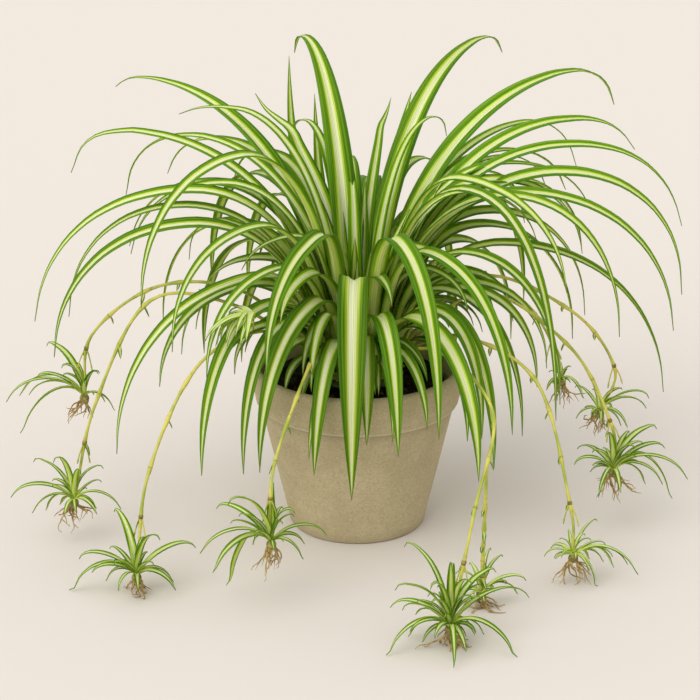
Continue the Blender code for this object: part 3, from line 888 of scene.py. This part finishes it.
def make_filling(stock, room, luck):
    """The other leaves, gathered by the side they grow to."""
    sides = {}
    wanted = []
    for heading, bow, *sizes in UPRIGHT_LEAVES[CROWN_LEAVES:]:
        root, tip, width = metres(sizes)
        wanted.append((heading, upright(Vector((root, HEAD_TOP)), Vector(tip), bow), width, UPRIGHT_TURN))
    filling = [(heading, *metres(sizes)) for heading, *sizes in FILLING_LEAVES]
    for leaves, most in ((filling, FILLING_TURN), (inner_leaves(luck), INNER_TURN)):
        for heading, root, top, tip, width in leaves:
            line = arch(Vector((root, HEAD_TOP)), Vector(top), Vector(tip), FILLING_STEPS)
            wanted.append((heading, line, width, most))
    for heading, line, width, most in wanted:
        turn, clear = room.best_heading(line, heading, most)
        if most == INNER_TURN and clear < LEAST_ROOM:
            continue
        room.hold(line, turn)
        roll, lit = FACE_FORWARD * cos(turn), painted_height_light(line)
        leaf = grow_blade(
            stock, "filling leaf", line, turn, width, luck, sway=0.003, pale=0.15, lit=lit, roll=roll
        )
        side = ("right", "back", "left", "front")[int(((heading + 45) % 360) // 90)]
        sides.setdefault(side, []).append(leaf)
    for side, leaves in sides.items():
        bunch = join_into(f"filling_leaves_{side}", leaves)
        finish_piece(bunch, "leaf")


def make_low_leaves(stock, room, luck):
    """Short leaves round the foot of the crown, under the others, their colour painted darker as painted
    shade.
    """
    leaves = []
    for number in range(LOW_LEAVES):
        heading = 360 * number / LOW_LEAVES + luck.uniform(-6, 6)
        high = luck.uniform(0.0, 1.0)
        top, tip = (0.053 + 0.006 * high, 0.150 + 0.028 * high), (0.084 + 0.008 * high, 0.133 + 0.020 * high)
        line = arch(Vector((0.033, HEAD_TOP)), Vector(top), Vector(tip), LOW_STEPS)
        turn, _ = room.best_heading(line, heading, LOW_TURN)
        room.hold(line, turn)
        width = luck.uniform(0.010, 0.0135)
        # The lowered tone paints these leaves darker: painted shade for lying under the others.
        leaves.append(grow_blade(stock, "low leaf", line, turn, width, luck, sway=0.003, pale=-0.22))
    finish_piece(join_into("low_leaves", leaves), "leaf")


# -------- runners and plantlets
def smooth_route(points, count):
    """A Catmull-Rom curve through the way points, read at even steps."""
    padded = [2 * points[0] - points[1], *points, 2 * points[-1] - points[-2]]
    dense = []
    for a, b, c, d in zip(padded, padded[1:], padded[2:], padded[3:]):
        for step in range(12):
            t = step / 12
            square, cube = (2 * a - 5 * b + 4 * c - d) * t**2, (3 * b - a - 3 * c + d) * t**3
            dense.append(0.5 * (2 * b + (c - a) * t + square + cube))
    dense.append(points[-1])
    lengths = [0.0]
    for before, after in zip(dense, dense[1:]):
        lengths.append(lengths[-1] + (after - before).length)
    route = []
    for number in range(count):
        wanted = lengths[-1] * number / (count - 1)
        place = next(i for i in range(1, len(dense)) if lengths[i] >= wanted - 1e-9)
        share = (wanted - lengths[place - 1]) / (lengths[place] - lengths[place - 1])
        route.append(dense[place - 1].lerp(dense[place], share))
    return route


def draw_stems(name, routes, material):
    """Round stems along routes of (place, radius), as one mesh."""
    curve = bpy.data.curves.new(name, "CURVE")
    curve.dimensions = "3D"
    curve.bevel_depth = 1.0
    curve.bevel_resolution = 2
    curve.use_fill_caps = True
    for route in routes:
        line = curve.splines.new("POLY")
        line.points.add(len(route) - 1)
        for point, (place, radius) in zip(line.points, route):
            point.co = (*place, 1.0)
            point.radius = radius
    stems = bpy.data.objects.new(name, curve)
    bpy.context.scene.collection.objects.link(stems)
    choose(stems)
    bpy.ops.object.convert(target="MESH")
    stems = bpy.context.object
    bpy.ops.object.mode_set(mode="EDIT")
    bpy.ops.mesh.select_all(action="SELECT")
    bpy.ops.mesh.remove_doubles(threshold=1e-7)
    bpy.ops.mesh.normals_make_consistent(inside=False)
    bpy.ops.object.mode_set(mode="OBJECT")
    stems.data.materials.clear()
    stems.data.materials.append(material)
    bpy.ops.object.shade_smooth()
    return stems


def knob_side(middle, last):
    """Where a runner that comes from its last way point meets a plantlet's knob."""
    return middle + (last - middle).normalized() * KNOB_RADIUS * 0.6


def runner_points(middle, way):
    first = Vector((way[0][0], way[0][1], CROWN_TOP - 0.001))
    points = [first, first + Vector((0, 0, 0.012)), *[Vector(place) for place in way[1:]]]
    return [*points, knob_side(middle, points[-1])]


def thickened(route, joints):
    """Adds radii to a route: thinner towards the plantlet, swollen at each joint."""
    last = len(route) - 1
    made = []
    for number, place in enumerate(route):
        share = number / last
        near = min(abs(number - joint) for joint in joints)
        swelling = 1.0 + (0.55 if near == 0 else 0.18 if near == 1 else 0.0)
        made.append((place, RUNNER_RADIUS * (1.12 - 0.30 * share) * swelling))
    return made


def make_bracts(stock, route, joints, luck):
    """The small pointed sheath leaf at each joint of a runner."""
    bracts = []
    for joint in joints:
        place = route[joint]
        run = (route[min(joint + 1, len(route) - 1)] - route[joint - 1]).normalized()
        heading = luck.uniform(0, 2 * pi)
        long = luck.uniform(0.007, 0.013)
        drop = -0.8 if run.z < 0 else 0.6
        line = [Vector((long * 0.35 * step / 3, long * drop * step / 3)) for step in range(4)]
        bracts.append(
            grow_blade(stock, "bract", line, heading, BRACT_WIDTH, luck, foot=place, sway=0.001, pale=0.1)
        )
    return bracts


def make_twigs(route, joint, luck):
    """The two thin stalks that hang beside a runner from its last joint."""
    twigs = []
    run = (route[joint + 1] - route[joint - 1]).normalized()
    for side in (-1, 1):
        way = run + Vector((side * luck.uniform(0.5, 0.9), luck.uniform(-0.5, 0.5), -0.2))
        way.normalize()
        place, twig = route[joint].copy(), []
        for step in range(TWIG_STEPS + 1):
            swelling = 1.7 if step == TWIG_STEPS - 1 else 1.0
            twig.append((place.copy(), (TWIG_RADIUS - 0.00004 * step) * swelling))
            way = (way + Vector((0, 0, -0.16))).normalized()
            place = place + way * luck.uniform(0.0020, 0.0030)
        twigs.append(twig)
    return twigs


def make_tuft(name, root, stalk, facing, count, stock, finishes, luck):
    """A tuft of thin pale young leaves on a short stalk that a runner carries."""
    place = root + Vector(stalk)
    way = [root, root + Vector((0, 0, stalk[2] * 0.7)), place - Vector((0, 0, stalk[2] * 0.2)), place]
    stem = [(cubic(*way, step / 8), RUNNER_RADIUS * 0.55) for step in range(9)]
    leaves = [draw_stems("tuft stalk", [stem], finishes["stem"])]
    for number in range(count):
        heading = radians(facing + luck.uniform(-70, 70))
        long = luck.uniform(0.020, 0.044)
        lift, drop = luck.uniform(0.05, 0.35) * long, luck.uniform(0.3, 0.9) * long
        corners = (0, 0), (0.3 * long, lift), (0.7 * long, lift - 0.4 * drop), (0.8 * long, lift - drop)
        bends = [Vector(corner) for corner in corners]
        line = [cubic(*bends, step / 6) for step in range(7)]
        width = luck.uniform(0.0032, 0.0052)
        leaves.append(grow_blade(
            stock, "tuft leaf", line, heading, width, luck, foot=place, sway=0.002, twist=0.9, pale=0.95
        ))
    finish_piece(join_into(name, leaves), "plantlet")


def make_runner(name, routes, stock, finishes, luck, *nodes):
    pieces, stems, rings = [], [], []
    for route in routes:
        count = len(route)
        joints = [round(count * share) for share in JOINT_SHARES]
        stems.append(thickened(route, joints))
        for joint in joints:
            before = route[joint].lerp(route[joint - 1], 0.28)
            after = route[joint].lerp(route[joint + 1], 0.28)
            thick = RUNNER_RADIUS * (1.60 if joint == joints[-1] else 1.46)
            rings.append([(before, thick * 0.8), (route[joint], thick * 0.98), (after, thick * 0.8)])
        pieces += make_bracts(stock, route, joints, luck)
        stems += make_twigs(route, joints[-1], luck)
    stem = draw_stems(name, stems, finishes["stem"])
    joint_rings = draw_stems("joint rings", rings, finishes["joint"])
    runner = join_into(name, [stem, joint_rings, *pieces])
    finish_piece(runner, "runner", *nodes)


def make_roots(middle, trail, count, finish, luck):
    """Wiry, forking roots that wander down from the knob."""
    routes = []
    for number in range(count):
        heading = luck.uniform(0, 2 * pi)
        long = luck.uniform(0.010, 0.026)
        place = middle + Vector((cos(heading), sin(heading), -0.8)) * KNOB_RADIUS * 0.55
        way = Vector((trail + cos(heading) * 0.55, sin(heading) * 0.55, -1.0)).normalized()
        route = []
        for step in range(ROOT_STEPS + 1):
            route.append((place.copy(), ROOT_RADIUS * (1.0 - 0.075 * step)))
            way += Vector((luck.uniform(-0.6, 0.6), luck.uniform(-0.6, 0.6), luck.uniform(-0.45, 0.30)))
            way.normalize()
            place = place + way * long / ROOT_STEPS
            place.z = max(place.z, 0.0008)
        routes.append(route)
        if number % 2:
            place, way = route[5][0], (way + Vector((way.y, -way.x, -0.3))).normalized()
            branch = [(place + way * 0.0016 * step, BRANCH_RADIUS * (1.0 - 0.15 * step)) for step in range(6)]
            routes.append(branch)
            for spot, _ in branch:
                spot.z = max(spot.z, 0.0006)
    return draw_stems("roots", routes, finish)


def plantlet_leaf(middle, tip, depth):
    """Line and heading of a plantlet's leaf from its knob to a tip (sideways, up) at a depth."""
    heading = atan2(depth, tip.x)
    reach = Vector((tip.x, depth)).length
    long = Vector((reach, tip.y)).length
    start, end = Vector((0.0004, 0.001)), Vector((reach, tip.y))
    if tip.y > 0.9 * reach:
        bend = Vector((0.10 * reach, 0.45 * tip.y)), Vector((0.38 * reach, 1.00 * tip.y))
    else:
        bend = Vector((0.22 * reach, 0.40 * long)), Vector((0.80 * reach, 0.52 * tip.y + 0.36 * long))
    line = [cubic(start, *bend, end, step / 7) for step in range(8)]
    line.append(end + Vector((0.05, -0.07)) * long)
    low = 0.0012 - middle.z
    return [Vector((point.x, max(point.y, low))) for point in line], heading


def make_plantlet(name, stock, finishes, luck):
    middle, short, pale, trail, tips, _ = PLANTLETS[name]
    middle = Vector(metres(middle))
    span = max(Vector(tip).length for tip in tips) / 1000
    pieces, wanted = [], []
    for number, tip in enumerate(tips):
        away = 1 if number % 2 else -1
        wanted.append((Vector(tip) / 1000, away * luck.uniform(0.10, 0.45) * Vector(tip).length / 1000))
    for number in range(short):
        turn = radians(GOLDEN_ANGLE) * number
        reach = span * luck.uniform(0.20, 0.55)
        wanted.append((Vector((cos(turn) * reach, luck.uniform(-0.15, 0.5) * span)), sin(turn) * reach))
    for tip, depth in wanted:
        line, heading = plantlet_leaf(middle, tip, depth)
        width = min(PLANTLET_LEAF_WIDTH, 0.0028 + 0.070 * Vector((tip.x, tip.y, depth)).length)
        width *= luck.uniform(0.85, 1.1)
        width *= 1.0 - 0.35 * pale
        pieces.append(grow_blade(
            stock, "plantlet leaf", line, heading, width, luck, foot=middle, sway=0.003, twist=0.6, pale=pale
        ))
    choose()
    bpy.ops.mesh.primitive_uv_sphere_add(
        segments=20, ring_count=12, radius=KNOB_RADIUS * 0.75, location=middle
    )
    knob = bpy.context.object
    settle(knob)
    knob.data.materials.append(finishes["knob"])
    bpy.ops.object.shade_smooth()
    roots = make_roots(middle, trail, min(MOST_ROOTS, 5 + short), finishes["root"], luck)
    plantlet = join_into("rooted_plantlet_" + name, [*pieces, knob, roots])
    finish_piece(plantlet, "plantlet", "plantlet_" + name)


def make_offsets(stock, finishes, luck):
    for name, (middle, _, _, _, _, way) in PLANTLETS.items():
        make_plantlet(name, stock, finishes, luck)
        if not way:
            continue
        routes = [smooth_route(runner_points(Vector(metres(middle)), metres(way)), RUNNER_POINTS)]
        if name == "front_2":
            fork, bend = routes[0][round(FORK_SHARE * (RUNNER_POINTS - 1))], Vector(ARM_WAY)
            arm_end = knob_side(Vector(metres(PLANTLETS["front_3"][0])), bend)
            routes.append(smooth_route([fork, bend, arm_end], ARM_POINTS))
        if name in TUFTS:
            share, stalk, facing, leaves = TUFTS[name]
            root = routes[0][round(share * (RUNNER_POINTS - 1))]
            make_tuft("young_tuft_" + name, root, stalk, facing, leaves, stock, finishes, luck)
        make_runner("long_runner_" + name, routes, stock, finishes, luck, "runner_" + name)


# -------- stage
CAMERA_LENS, CAMERA_PITCH, CAMERA_DISTANCE = 122.0, 21.5, 1.75
CAMERA_TARGET = (-0.0055, 0.0, 0.1345)


def make_stage():
    choose()
    bpy.ops.mesh.primitive_plane_add(size=120.0, location=(0, 0, 0))
    floor = bpy.context.object
    floor.name = "studio_floor"
    floor.data.materials.append(floor_finish())

    bpy.context.scene.view_settings.view_transform = "Standard"
    world = bpy.data.worlds.new("studio air")
    world.use_nodes = True
    air = world.node_tree.nodes["Background"]
    air.inputs["Color"].default_value = (1.0, 0.975, 0.945, 1.0)
    air.inputs["Strength"].default_value = 0.90
    bpy.context.scene.world = world

    for name, turn, spread, strength in (
        ("soft light above", (20, -18, 0), 50, 0.56),
        ("soft light at the left", (38, -40, 0), 50, 1.12),
    ):
        lamp = bpy.data.lights.new(name, "SUN")
        lamp.angle = radians(spread)
        lamp.energy = strength
        lamp.color = (1.0, 0.985, 0.96)
        holder = bpy.data.objects.new(name, lamp)
        holder.rotation_euler = [radians(value) for value in turn]
        bpy.context.scene.collection.objects.link(holder)

    eye = bpy.data.cameras.new("camera")
    eye.sensor_width = 36.0
    eye.lens = CAMERA_LENS
    eye.clip_end = 30.0
    camera = bpy.data.objects.new("camera", eye)
    pitch = radians(CAMERA_PITCH)
    camera.location = Vector(CAMERA_TARGET) - Vector((0.0, cos(pitch), -sin(pitch))) * CAMERA_DISTANCE
    camera.rotation_euler = (pi / 2 - pitch, 0.0, 0.0)
    bpy.context.scene.collection.objects.link(camera)
    bpy.context.scene.camera = camera


def main():
    luck = Random(SEED)
    make_stage()
    top, under = leaf_finish("leaf upper side", False), leaf_finish("leaf under side", True)
    stock = make_stock("blade stock", *LEAF_GRID, top, under)
    small_stock = make_stock("small blade stock", *SMALL_GRID, top, under)
    finishes = {
        "stem": stem_finish(),
        "joint": joint_finish(),
        "root": root_finish(),
        "knob": knob_finish(),
    }
    make_pot(clay_finish())
    make_soil(earth_finish(), bark_finish(), luck)
    make_crown(stock, leaf_base_finish(), luck)
    room = Room()
    make_leaves(stock, room, luck)
    make_filling(stock, room, luck)
    make_low_leaves(stock, room, Random(LOW_SEED))
    make_offsets(small_stock, finishes, luck)
    bpy.data.objects.remove(stock, do_unlink=True)
    bpy.data.objects.remove(small_stock, do_unlink=True)


main()
